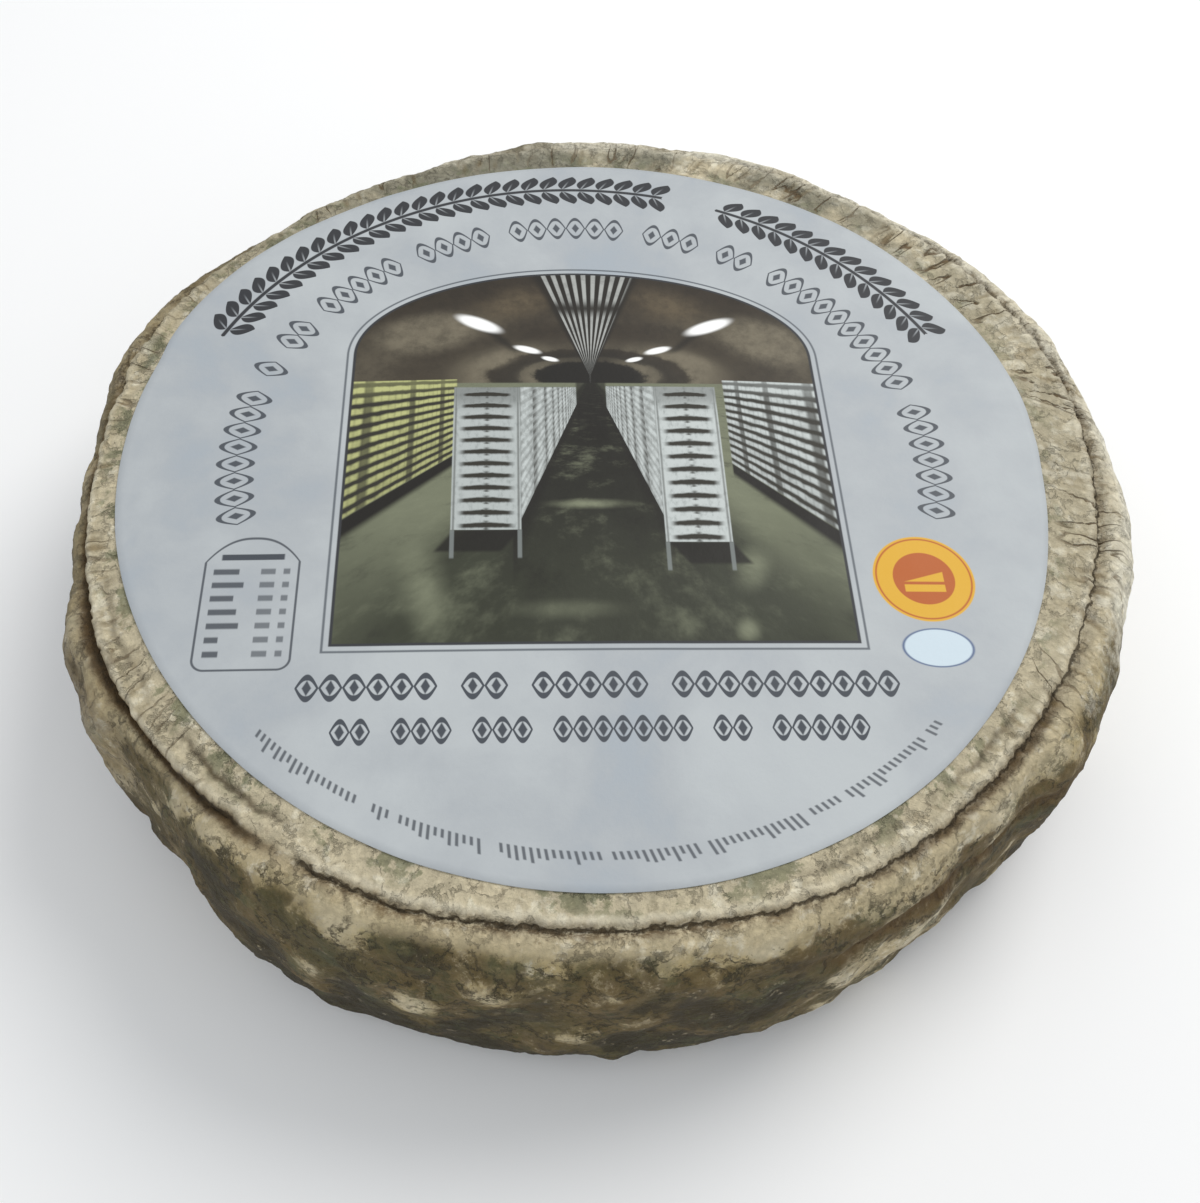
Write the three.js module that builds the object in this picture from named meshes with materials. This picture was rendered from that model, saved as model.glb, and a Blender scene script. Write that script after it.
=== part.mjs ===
// Pressed farmhouse cheese wheel with a natural rind and a round paper label glued to its top.
// Millimetres, +Z up. The origin is on the resting surface, under the middle of the wheel.

import * as THREE from 'three';
import { mergeVertices } from 'three/addons/utils/BufferGeometryUtils.js';

// Driving dimensions
const wheelRadius = 105;        // mean radius where the side is fullest
const wheelHeight = 50;         // resting surface to the middle of the crowned top
const restRadius = 93;          // flat part of the underside
const rimRadius = 97;           // where the crowned top ends at the crease
const crownDrop = 1.6;          // how far the top falls from its middle to the crease
const sideFullness = 4;         // higher keeps the side upright for longer before it turns in
const creaseDepth = 1.2;
const creaseWidth = 2.4;

const labelRadius = 88.7;
const labelThickness = 0.3;
const labelGap = 0.3;           // clearance kept between the label and the rind
const labelOffset = { x: -4.3, y: -1.3 };   // label centre from the wheel's centre

// The wheel is a little out of round: each wave is so many lobes of so many millimetres.
const outOfRound = [
  { lobes: 2, height: 2, turn: 45 },
  { lobes: 3, height: 0.4, turn: 12 },
];

// Facets
const roundSteps = 96;
const sideSteps = 10;
const crownSteps = 5;
const labelRings = 3;

const rindColour = 0x8f8a6e;
const paperColour = 0xbcc4c9;

// How much wider than a true circle the wheel is in one direction
function stretchAt(angle) {
  let height = 0;
  for (const wave of outOfRound) {
    height += wave.height * Math.cos(wave.lobes * (angle - THREE.MathUtils.degToRad(wave.turn)));
  }
  return 1 + height / wheelRadius;
}

// Height of the crowned top at a distance from the middle
function crownHeight(radius) {
  return wheelHeight - crownDrop * (radius / rimRadius) ** 2;
}

// Radius of the side: level runs from -1 at the resting surface to 1 at the crease
function sideRadius(level) {
  const edge = level < 0 ? restRadius : rimRadius;
  return edge + (wheelRadius - edge) * Math.sqrt(1 - Math.abs(level) ** sideFullness);
}

function wheelOutline() {
  const top = crownHeight(rimRadius);
  const outline = [new THREE.Vector2(0, 0), new THREE.Vector2(restRadius, 0)];
  for (let step = 1; step < sideSteps; step++) {
    const level = -Math.cos((Math.PI * step) / sideSteps);
    outline.push(new THREE.Vector2(sideRadius(level), (top * (1 + level)) / 2));
  }
  outline.push(new THREE.Vector2(rimRadius + creaseWidth / 2, top - creaseDepth / 4));
  outline.push(new THREE.Vector2(rimRadius, top - creaseDepth));
  for (let step = 0; step <= crownSteps; step++) {
    const radius = (rimRadius - creaseWidth / 2) * (1 - step / crownSteps);
    outline.push(new THREE.Vector2(radius, crownHeight(radius)));
  }
  return outline;
}

// Turns an outline about the upright axis into one closed skin of shared corners
function turnedSolid(outline) {
  const lathe = new THREE.LatheGeometry(outline, roundSteps).rotateX(Math.PI / 2);
  lathe.deleteAttribute('normal');
  lathe.deleteAttribute('uv');
  return mergeVertices(lathe, 1e-4);
}

function makeWheel() {
  const geometry = turnedSolid(wheelOutline());
  const corners = geometry.attributes.position;
  for (let i = 0; i < corners.count; i++) {
    const stretch = stretchAt(Math.atan2(corners.getY(i), corners.getX(i)));
    corners.setXY(i, corners.getX(i) * stretch, corners.getY(i) * stretch);
  }
  geometry.computeVertexNormals();
  const material = new THREE.MeshStandardMaterial({ color: rindColour, roughness: 0.85, metalness: 0 });
  const mesh = new THREE.Mesh(geometry, material);
  mesh.name = 'cheese_wheel';
  return mesh;
}

// The label is a thin disc laid over the crown, a paper's clearance above the rind.
function labelOutline() {
  const outline = [];
  for (let ring = 0; ring <= labelRings; ring++) {
    outline.push(new THREE.Vector2((labelRadius * ring) / labelRings, 0));
  }
  for (let ring = labelRings; ring >= 0; ring--) {
    outline.push(new THREE.Vector2((labelRadius * ring) / labelRings, labelThickness));
  }
  return outline;
}

function makeLabel() {
  const geometry = turnedSolid(labelOutline()).translate(labelOffset.x, labelOffset.y, labelGap);
  const corners = geometry.attributes.position;
  for (let i = 0; i < corners.count; i++) {
    const x = corners.getX(i);
    const y = corners.getY(i);
    const radius = Math.hypot(x, y) / stretchAt(Math.atan2(y, x));
    corners.setZ(i, corners.getZ(i) + crownHeight(radius));
  }
  geometry.computeVertexNormals();
  const material = new THREE.MeshStandardMaterial({ color: paperColour, roughness: 0.6, metalness: 0 });
  const mesh = new THREE.Mesh(geometry, material);
  mesh.name = 'paper_label';
  return mesh;
}

const wheel = makeWheel();
const label = makeLabel();

// The out-of-round outline is brought over the origin by the middle of its box.
wheel.geometry.computeBoundingBox();
const middle = wheel.geometry.boundingBox.getCenter(new THREE.Vector3());

const group = new THREE.Group();
group.add(wheel, label);
group.position.set(-middle.x, -middle.y, 0);

export default group;
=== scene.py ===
from math import cos, pi, radians, sin

import bpy
import numpy as np
from mathutils import Matrix, Vector


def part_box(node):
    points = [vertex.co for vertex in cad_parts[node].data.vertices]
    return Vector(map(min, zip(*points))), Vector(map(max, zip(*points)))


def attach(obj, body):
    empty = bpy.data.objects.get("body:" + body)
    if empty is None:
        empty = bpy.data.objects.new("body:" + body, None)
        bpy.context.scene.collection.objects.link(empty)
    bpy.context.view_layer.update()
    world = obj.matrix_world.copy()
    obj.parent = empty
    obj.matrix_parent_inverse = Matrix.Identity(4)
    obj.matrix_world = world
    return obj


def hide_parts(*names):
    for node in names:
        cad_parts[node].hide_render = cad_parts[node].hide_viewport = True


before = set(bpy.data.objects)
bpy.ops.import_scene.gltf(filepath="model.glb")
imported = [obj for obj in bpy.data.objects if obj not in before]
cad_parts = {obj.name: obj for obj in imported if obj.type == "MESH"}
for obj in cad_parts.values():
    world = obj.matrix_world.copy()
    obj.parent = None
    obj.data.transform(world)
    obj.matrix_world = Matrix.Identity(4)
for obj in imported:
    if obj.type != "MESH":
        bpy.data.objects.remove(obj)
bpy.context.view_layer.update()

mm = 0.001
scene = bpy.context.scene


view = {                 # camera
    "place": (-0.0001, -0.1735, 0.2474),
    "pitch": 54.92,      # degrees below level
    "roll": 5.18,
    "lens": 40.3,        # millimetres on a 36 mm sensor
}


def makeCamera():
    data = bpy.data.cameras.new("camera")
    data.lens, data.sensor_width = view["lens"], 36
    data.clip_start, data.clip_end = 0.01, 20
    camera = bpy.data.objects.new("camera", data)
    tilt = Matrix.Rotation(radians(90 - view["pitch"]), 4, "X")
    turn = Matrix.Rotation(radians(view["roll"]), 4, "Z")
    camera.matrix_world = Matrix.Translation(view["place"]) @ tilt @ turn
    scene.collection.objects.link(camera)
    scene.camera = camera


makeCamera()
print("camera placed")


# node trees are written as sums
class Flow:              # a socket that can be added to, multiplied and so on
    def __init__(self, tree, socket):
        self.tree, self.socket = tree, socket

    def __add__(self, other):
        return maths(self.tree, "ADD", self, other)

    def __sub__(self, other):
        return maths(self.tree, "SUBTRACT", self, other)

    def __mul__(self, other):
        return maths(self.tree, "MULTIPLY", self, other)

    def __truediv__(self, other):
        return maths(self.tree, "DIVIDE", self, other)

    def __pow__(self, other):
        return maths(self.tree, "POWER", self, other)

    def __rtruediv__(self, other):
        return maths(self.tree, "DIVIDE", other, self)

    def __rsub__(self, other):
        return maths(self.tree, "SUBTRACT", other, self)

    def __neg__(self):
        return self * -1

    def __abs__(self):
        return maths(self.tree, "ABSOLUTE", self)

    __radd__, __rmul__ = __add__, __mul__


def feed(tree, socket, value):
    if isinstance(value, Flow):
        tree.links.new(value.socket, socket)
    else:
        socket.default_value = value


def node(tree, kind, inputs=None, **settings):
    made = tree.nodes.new(kind)
    for name, value in settings.items():
        setattr(made, name, value)
    for key, value in (inputs or {}).items():
        feed(tree, made.inputs[key], value)
    return made


def out(made, key=0):
    return Flow(made.id_data, made.outputs[key])


def maths(tree, operation, *values):
    made = node(tree, "ShaderNodeMath", operation=operation)
    for i, value in enumerate(values):
        feed(tree, made.inputs[i], value)
    return out(made)


def most(a, b):
    return maths(a.tree, "MAXIMUM", a, b)


# fade eases from one value to the other while x goes from low to high
def fade(x, low, high, fromValue=0.0, toValue=1.0, easing="SMOOTHSTEP"):
    inputs = {0: x, 1: low, 2: high, 3: fromValue, 4: toValue}
    return out(node(x.tree, "ShaderNodeMapRange", inputs, interpolation_type=easing))


def fall(x, low, high):  # from 1 down to 0
    return fade(x, low, high, 1.0, 0.0)


def slide(x, low, high, fromValue=0.0, toValue=1.0):     # the same in a straight line
    return fade(x, low, high, fromValue, toValue, "LINEAR")


def ridge(x, centre, width):         # 1 at the centre, 0 a width away on both sides
    return fall(abs(x - centre), 0.0, width)


def vector(tree, x=0.0, y=0.0, z=0.0):
    return out(node(tree, "ShaderNodeCombineXYZ", {0: x, 1: y, 2: z}))


def parts(flow):
    made = node(flow.tree, "ShaderNodeSeparateXYZ", {0: flow})
    return out(made, 0), out(made, 1), out(made, 2)


def scaled(flow, factor):
    return out(node(flow.tree, "ShaderNodeVectorMath", {0: flow, 3: factor}, operation="SCALE"))


def added(flow, other):
    return out(node(flow.tree, "ShaderNodeVectorMath", {0: flow, 1: other}, operation="ADD"))


def length(x, y):
    return maths(x.tree, "SQRT", x * x + y * y)


def angleTo(x, y):
    return maths(x.tree, "ARCTAN2", y, x)


def noise(where, size, seed, detail=3.0, rough=0.5):      # size is that of one blotch
    inputs = {"Vector": where, "W": seed, "Scale": 1 / size, "Detail": detail, "Roughness": rough}
    return out(node(where.tree, "ShaderNodeTexNoise", inputs, noise_dimensions="4D"))


def handCurve(x, points):
    made = node(x.tree, "ShaderNodeFloatCurve", {"Value": x})
    line = made.mapping.curves[0].points
    line[0].location, line[1].location = points[0], points[-1]
    for point in points[1:-1]:
        line.new(*point)
    made.mapping.update()
    return out(made)


# strengths of 0 to 1 by degrees, for a turn of -1 to 1 that starts and ends at the left
def roundCurve(turn, strengths):
    points = [((degrees + 180) / 360, value) for degrees, value in strengths]
    return handCurve(turn * 0.5 + 0.5, points)


def roundReach(turn, reaches, low, high):    # the same for millimetres between low and high
    points = [(degrees, (reach - low) / (high - low)) for degrees, reach in reaches]
    return roundCurve(turn, points) * (high - low) + low


def treeInputs(sizes, counts):       # named inputs, millimetres first
    return ({key: ("float", value) for key, value in sizes.items()}
            | {key: ("whole", value) for key, value in counts.items()})


def newGroup(name, kind, inputs, outputs):
    group = bpy.data.node_groups.new(name, kind)
    sockets = {"float": "NodeSocketFloat", "vector": "NodeSocketVector", "mesh": "NodeSocketGeometry",
               "whole": "NodeSocketInt"}
    for key, (sort, value) in inputs.items():
        made = group.interface.new_socket(name=key, in_out="INPUT", socket_type=sockets[sort])
        if value is not None:
            made.default_value = value
    for key, sort in outputs.items():
        group.interface.new_socket(name=key, in_out="OUTPUT", socket_type=sockets[sort])
    start, end = group.nodes.new("NodeGroupInput"), group.nodes.new("NodeGroupOutput")
    return group, {key: Flow(group, start.outputs[key]) for key in inputs}, end


def place(tree, group, kind, inputs):
    return node(tree, kind, inputs, node_tree=group)


def linear(red, green, blue):        # a screen colour as the shader's own
    def part(value):
        value /= 255
        return value / 12.92 if value <= 0.04045 else ((value + 0.055) / 1.055) ** 2.4
    return part(red), part(green), part(blue), 1.0


# the wheel's shape, in millimetres
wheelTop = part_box("cheese_wheel")[1]
wheelShape = {
    "Radius": 105.0,
    "Height": wheelTop.z / mm,
    "Rest radius": 93.0,
    "Rim radius": 97.0,
    "Crown drop": 1.6,
    "Fullness": 4.0,
    "Middle X": -0.36,
    "Middle Y": 0.28,
    "Two lobes": 2.0,
    "Three lobes": 0.4,
    "Top swell": 0.5,
}
labelShape = {
    "Label X": -4.66,
    "Label Y": -1.02,
    "Label radius": 88.7,
}
labelTurn = 6.6          # degrees
# millimetres past the radius, by degrees from the right-hand side towards the back
labelReach = [
    (-180, 0.6), (-165, 0.3), (-120, 0.0), (-60, 0.4), (-45, 0.3), (-30, 0.0), (-5, 0.2), (10, 1.5),
    (22, 2.9), (35, 3.4), (50, 3.5), (62, 3.0), (75, 2.1), (95, 1.1), (115, 0.3), (128, 0.5),
    (142, 1.4), (158, 2.1), (170, 0.8), (180, 0.6),
]


def makeOutlineGroup():  # how far each direction is stretched, and the height of the crowned top
    keys = ("Radius", "Height", "Rim radius", "Crown drop", "Two lobes", "Three lobes", "Top swell",
            "Middle X", "Middle Y")
    inputs = {"Place": ("vector", None)} | {key: ("float", wheelShape[key]) for key in keys}
    group, given, end = newGroup("crowned top", "GeometryNodeTree", inputs,
                                 {"Stretch": "float", "Top": "float"})
    x, y, _ = parts(given["Place"])
    angle = angleTo(x - given["Middle X"], y - given["Middle Y"])
    two = given["Two lobes"] * maths(group, "COSINE", (angle - radians(45)) * 2)
    three = given["Three lobes"] * maths(group, "COSINE", (angle - radians(12)) * 3)
    stretch = (two + three) / given["Radius"] + 1
    radius = length(x - given["Middle X"], y - given["Middle Y"]) / stretch
    crown = given["Height"] - given["Crown drop"] * (radius / given["Rim radius"]) ** 2
    swell = noise(vector(group, x, y), 60, seed=2.0, detail=1.0) - 0.5
    feed(group, end.inputs["Stretch"], stretch)
    feed(group, end.inputs["Top"], crown + swell * given["Top swell"])
    return group


outlineGroup = makeOutlineGroup()


def outline(tree, where, given):
    sockets = [item.name for item in outlineGroup.interface.items_tree if item.in_out == "INPUT"]
    inputs = {key: given[key] for key in sockets if key != "Place"} | {"Place": where}
    made = place(tree, outlineGroup, "GeometryNodeGroup", inputs)
    return out(made, "Stretch"), out(made, "Top")


def labelEdge(x, y, given):          # how far the paper reaches from its middle in each direction
    turn = angleTo(x - given["Label X"], y - given["Label Y"]) / pi
    return given["Label radius"] + roundReach(turn, labelReach, 0, 4)


def gridOf(tree, columns, rows):
    made = node(tree, "GeometryNodeMeshGrid",
                {"Size X": 1.0, "Size Y": 1.0, "Vertices X": columns, "Vertices Y": rows})
    x, y, _ = parts(out(node(tree, "GeometryNodeInputPosition")))
    return out(made, "Mesh"), (x + 0.5) * (2 * pi), y + 0.5


def bendGrid(tree, mesh, x, y, z):
    where = scaled(vector(tree, x, y, z), mm)
    bent = node(tree, "GeometryNodeSetPosition", {"Geometry": mesh, "Position": where})
    return out(bent, "Geometry")


def stored(mesh, name, value):
    inputs = {"Geometry": mesh, "Name": name, "Value": value}
    made = node(mesh.tree, "GeometryNodeStoreNamedAttribute", inputs, data_type="FLOAT", domain="POINT")
    return out(made, "Geometry")


def closed(mesh):
    made = node(mesh.tree, "GeometryNodeMergeByDistance", {"Geometry": mesh, "Distance": 0.001 * mm})
    return out(made, "Geometry")


def finished(mesh, end, material):
    smooth = node(mesh.tree, "GeometryNodeSetShadeSmooth", {"Geometry": mesh})
    real = node(mesh.tree, "GeometryNodeRealizeInstances", {"Geometry": out(smooth, 0)})
    dressed = node(mesh.tree, "GeometryNodeSetMaterial", {"Geometry": out(real, 0)})
    dressed.inputs["Material"].default_value = material
    feed(mesh.tree, end.inputs["Geometry"], out(dressed, 0))


def grown(name, group, values):      # runs a tree once and keeps the plain mesh
    seedMesh = bpy.data.meshes.new(name + " seed")
    seedPiece = bpy.data.objects.new(name + " seed", seedMesh)
    scene.collection.objects.link(seedPiece)
    modifier = seedPiece.modifiers.new(name, "NODES")
    modifier.node_group = group
    for socket in group.interface.items_tree:
        if socket.in_out == "INPUT" and socket.name in values:
            modifier[socket.identifier] = values[socket.name]
    layer = bpy.context.view_layer
    layer.update()
    graph = bpy.context.evaluated_depsgraph_get()
    mesh = bpy.data.meshes.new_from_object(seedPiece.evaluated_get(graph), depsgraph=graph)
    mesh.name = name
    piece = bpy.data.objects.new(name, mesh)
    scene.collection.objects.link(piece)
    bpy.data.objects.remove(seedPiece)
    print(name, "has", len(mesh.polygons), "faces")
    return piece


# the rind
rindSize = {"Columns": 800, "Bottom rows": 12, "Side rows": 76, "Ledge rows": 18, "Inner rows": 12}
rindRelief = {           # millimetres
    "Ledge width": 12.0,
    "Side lumps": 2.2,
    "Lump size": 38.0,
    "Dimples": 0.9,
    "Dimple size": 9.0,
    "Crust": 0.5,
    "Crust size": 2.6,
    "Dents": 3.0,
    "Dent size": 14.0,
    "Lobes": 1.1,
    "Lobe size": 11.0,
    "Crease depth": 1.1,
    "Soft crease": 1.1,
    "Puckers": 0.55,
    "Crease sway": 1.4,
    "Crease jags": 1.4,
    "Overhang": 0.15,
    "Echo gap": 4.2,
    "Lip": 0.35,
    "Second groove": 1.1,
    "Second gap": 13.5,
    "Folds": 0.7,
}
# round the wheel, by degrees from the right-hand side towards the back
rindRound = {            # strengths of 0 to 1
    "crease": [
        (-180, 0.8), (-165, 0.95), (-150, 1.0), (-135, 0.85), (-124, 0.5), (-119, 0.0), (-115, 0.85),
        (-90, 1.0), (-72, 0.85), (-55, 0.6), (-40, 0.75), (-28, 0.5), (-12, 0.7), (5, 0.9), (30, 1.0),
        (50, 0.75), (70, 0.45), (100, 0.3), (150, 0.4), (170, 0.6), (180, 0.8)],
    "echo": [
        (-180, 0.0), (-160, 0.05), (-148, 0.6), (-138, 0.15), (-130, 0.95), (-121, 0.7), (-114, 0.0),
        (-70, 0.0), (-62, 0.55), (-50, 0.2), (-42, 0.7), (-30, 0.1), (0, 0.0), (180, 0.0)],
    "soft crease": [
        (-180, 0.4), (-165, 0.8), (-140, 1.0), (-125, 0.9), (-115, 0.3), (-100, 0.0), (-72, 0.0),
        (-62, 0.35), (-50, 0.7), (-36, 0.75), (-22, 0.35), (0, 0.3), (40, 0.3), (80, 0.3), (130, 0.3),
        (160, 0.35), (180, 0.4)],
    "second groove": [
        (-180, 0.0), (-78, 0.0), (-64, 0.6), (-50, 1.0), (-38, 0.8), (-26, 0.2), (-15, 0.0), (180, 0.0)],
    "puckers": [
        (-180, 0.8), (-150, 0.75), (-125, 0.6), (-112, 0.2), (-80, 0.15), (-55, 0.45), (-35, 0.8),
        (-15, 1.0), (30, 1.0), (60, 0.8), (100, 0.6), (140, 0.7), (180, 0.8)],
    "folds": [
        (-180, 0.9), (-160, 0.7), (-135, 0.6), (-115, 0.15), (-80, 0.1), (-45, 0.4), (-30, 0.8),
        (-15, 1.0), (20, 1.0), (55, 1.0), (80, 0.8), (110, 0.8), (140, 0.9), (165, 0.9), (180, 0.9)],
    "mould": [
        (-180, 0.0), (-150, 0.0), (-115, 0.0), (-70, 0.05), (-45, 0.2), (-30, 0.26), (-20, 0.42),
        (-10, 0.62), (2, 0.8), (35, 0.85), (70, 0.7), (110, 0.52), (140, 0.3), (165, 0.1), (180, 0.0)],
    "dark": [
        (-180, 0.8), (-160, 0.8), (-145, 0.55), (-125, 0.66), (-105, 0.9), (-80, 0.84), (-66, 0.52),
        (-52, 0.2), (-40, 0.35), (-30, 0.85), (-20, 0.85), (-6, 0.4), (40, 0.2), (90, 0.6), (140, 0.6),
        (180, 0.8)],
    "umber": [
        (-180, 0.8), (-160, 0.85), (-140, 0.4), (-120, 0.1), (-90, 0.0), (90, 0.0), (140, 0.35),
        (180, 0.8)],
    "grey": [
        (-180, 0.1), (-120, 0.1), (-60, 0.1), (0, 0.3), (45, 0.5), (65, 0.9), (110, 1.0), (135, 0.7),
        (160, 0.3), (180, 0.1)],
}
creaseShift = [          # millimetres from the rim down the side
    (-180, 2.88), (-165, 2.16), (-148, 2.16), (-129, 0.96), (-110, -0.32), (-80, -1.6), (-63, -0.32),
    (-35, -2.08), (-8, -2.56), (5, -1.84), (27, 0.0), (60, 0.48), (120, 1.28), (160, 2.72),
    (180, 2.88),
]
sideShift = [            # millimetres out
    (-180, -0.7), (-171, -1.6), (-165, -2.2), (-155, -0.7), (-147, 0.5), (-142, -0.8), (-136, -3.0),
    (-128, -1.6), (-119, 0.5), (-108, 0.0), (-95, -1.1), (-80, -0.7), (-65, -1.1), (-52, -1.8),
    (-40, -2.4), (-35, -0.3), (-28, 0.3), (-15, -1.2), (-4, 0.6), (4, 0.1), (13, -1.4), (20, -1.2),
    (36, 0.3), (58, -0.6), (80, 0.8), (105, 0.2), (118, -0.8), (137, -0.9), (150, 0.0), (160, 1.7),
    (167, 2.0), (174, 0.5), (180, -0.7),
]


def roundHere(turn, name):
    return roundCurve(turn, rindRound[name])


def rindForm(tree, given):           # the plain turned shape: mesh with its distance from the rim stored
    total = given["Bottom rows"] + given["Side rows"] + given["Ledge rows"] + given["Inner rows"]
    mesh, turn, up = gridOf(tree, given["Columns"] + 1, total + 1)
    row = up * total
    sideFrom = given["Bottom rows"]
    ledgeFrom = sideFrom + given["Side rows"]
    innerFrom = ledgeFrom + given["Ledge rows"]
    bottom = slide(row, 0.0, sideFrom)
    side = slide(row, sideFrom, ledgeFrom)
    ledge = slide(row, ledgeFrom, innerFrom)
    inner = slide(row, innerFrom, total)

    level = -maths(tree, "COSINE", side * pi)
    upper = maths(tree, "GREATER_THAN", level, 0.0)
    edge = given["Rest radius"] + (given["Rim radius"] - given["Rest radius"]) * upper
    fullness = maths(tree, "SQRT", most(1.0 - abs(level) ** given["Fullness"], 0.0))
    sideRadius = edge + (given["Radius"] - edge) * fullness
    bottomRadius = given["Rest radius"] * (1.0 - (1.0 - bottom) ** 2)
    innerRadius = given["Rim radius"] - given["Ledge width"]
    radius = (bottomRadius + sideRadius - given["Rest radius"] - given["Ledge width"] * ledge
              - innerRadius * inner ** 1.8)

    across, deep = maths(tree, "COSINE", turn), maths(tree, "SINE", turn)
    middleX, middleY = given["Middle X"], given["Middle Y"]
    stretch, _ = outline(tree, vector(tree, middleX + across * 100, middleY + deep * 100), given)
    x = middleX + across * radius * stretch
    y = middleY + deep * radius * stretch
    _, top = outline(tree, vector(tree, x, y), given)
    z = top * (level + 1.0) * 0.5

    mesh = stored(mesh, "row", row)
    onTop = maths(tree, "GREATER_THAN", ledge, 0.0)
    reach = length(radius - given["Rim radius"], top - z)
    mesh = stored(mesh, "rimDistance", reach * (1.0 - 2.0 * onTop))
    return closed(bendGrid(tree, mesh, x, y, z))


def attribute(tree, name):
    return out(node(tree, "GeometryNodeInputNamedAttribute", {"Name": name}, data_type="FLOAT"))


def makeRindTree(material):
    inputs = treeInputs(wheelShape | labelShape | rindRelief, rindSize)
    tree, given, end = newGroup("cheese rind", "GeometryNodeTree", inputs, {"Geometry": "mesh"})
    mesh = rindForm(tree, given)

    where = scaled(out(node(tree, "GeometryNodeInputPosition")), 1 / mm)
    x, y, z = parts(where)
    fromX, fromY = x - given["Middle X"], y - given["Middle Y"]
    turn = angleTo(fromX, fromY) / pi
    far = most(length(fromX, fromY), 1.0)
    rim = attribute(tree, "rimDistance")
    ring = vector(tree, fromX / far, fromY / far)
    # the wrinkles run outwards, a little askew
    skew = (noise(ring, 0.5, seed=14.0, detail=0.0) - 0.45) * 0.03
    askewX, askewY = fromX - fromY * rim * skew, fromY + fromX * rim * skew
    slant = vector(tree, askewX / far, askewY / far, rim * 0.0022)

    # how far each place is from the crease, its echo and the second groove
    sway = (noise(ring, 0.3, seed=1.0, detail=1.0) - 0.5) * given["Crease sway"]
    jags = (noise(ring, 0.028, seed=4.0, detail=3.0, rough=0.65) - 0.5) * given["Crease jags"] * 2
    path = roundReach(turn, creaseShift, -4, 4) + sway + jags
    creaseGap = rim - path
    echoGap = creaseGap + given["Echo gap"] + (noise(ring, 0.12, seed=9.0, detail=2.0) - 0.5) * 5
    secondGap = rim - given["Second gap"] - (noise(ring, 0.16, seed=6.0, detail=3.0) - 0.5) * 9
    creaseHere = roundHere(turn, "crease")
    echoHere = roundHere(turn, "echo")
    secondHere = roundHere(turn, "second groove")

    groove = fade(creaseGap, -0.3, 0.2) * fall(creaseGap, 0.3, 1.9)
    softHere = roundHere(turn, "soft crease")
    softGroove = fade(creaseGap, -1.6, 0.6) * fall(creaseGap, 0.6, 4.6) * softHere
    echo = ridge(echoGap, 0.0, 1.3)
    second = ridge(secondGap, 0.0, 2.6)
    lip = ridge(creaseGap, -0.9, 1.4) + ridge(creaseGap, 4.0, 2.4) * 0.8

    # puckers and folds that run from the label to the crease, and on down the side more faintly
    pleats = noise(slant, 0.042, seed=3.0, detail=2.0, rough=0.5) - 0.5
    puckers = noise(slant, 0.024, seed=15.0, detail=1.0) - 0.5
    foldHere = roundHere(turn, "folds") * fade(noise(slant, 0.14, seed=12.0, detail=1.0), 0.36, 0.56)
    foldLedge = fade(rim, -12.0, -5.0, 0.3, 1.0) * fade(rim, 0.0, 3.5, 1.0, 0.3)
    offFloor = fade(z, 2.0, 20.0)
    fold = fall(abs(pleats), 0.0, 0.035) * foldHere * foldLedge * offFloor
    pucker = puckers * roundHere(turn, "puckers") * foldLedge * offFloor * 2

    # nothing stands up under the label, and nothing reaches below the resting face
    labelGap = length(x - given["Label X"], y - given["Label Y"]) - labelEdge(x, y, given)
    bare = fade(labelGap, -0.6, 3.0)
    side = fade(z, 0.5, 9.0)
    lumps = (noise(where, given["Lump size"], seed=5.0, detail=1.0) - 0.5) * given["Side lumps"] * 2
    lumps = lumps * fade(rim, -1.0, 8.0)
    dimples = (noise(where, given["Dimple size"], seed=7.0, detail=2.0) - 0.5) * given["Dimples"] * 2
    crust = (noise(where, given["Crust size"], seed=8.0, detail=2.0, rough=0.6) - 0.5) * given["Crust"] * 2
    dents = -most(noise(where, given["Dent size"], seed=10.0, detail=2.0) - 0.48, 0.0) * given["Dents"]
    swirl = vector(tree, *(noise(where, 9.0, seed=seed) for seed in (16.0, 17.0, 18.0)))
    inputs = {"Vector": added(where, scaled(swirl, 7.0)), "Scale": 1 / given["Lobe size"], "Randomness": 1.0}
    cells = out(node(tree, "ShaderNodeTexVoronoi", inputs, feature="SMOOTH_F1"), "Distance")
    lobes = fade(cells, 0.62, 0.2) * given["Lobes"] * fade(rim, 1.0, 9.0, 0.25, 1.0)
    lumps = lumps + roundReach(turn, sideShift, -4, 4) * fade(rim, -1.0, 6.0)
    smooth = 1.0 - roundHere(turn, "mould") * 0.7
    height = (lumps + (crust + (dimples + lobes - given["Lobes"] * 0.4) * smooth) * bare) * side
    height = height + dents * (1.0 - side) * fall(z, 0.0, 30.0)
    marks = (lip * given["Lip"] - groove * given["Crease depth"]) * creaseHere
    marks = marks - echo * given["Crease depth"] * 0.6 * echoHere - softGroove * given["Soft crease"]
    marks = marks + pucker * given["Puckers"] - fold * given["Folds"]
    height = height + marks * bare - second * given["Second groove"] * secondHere * side

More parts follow.
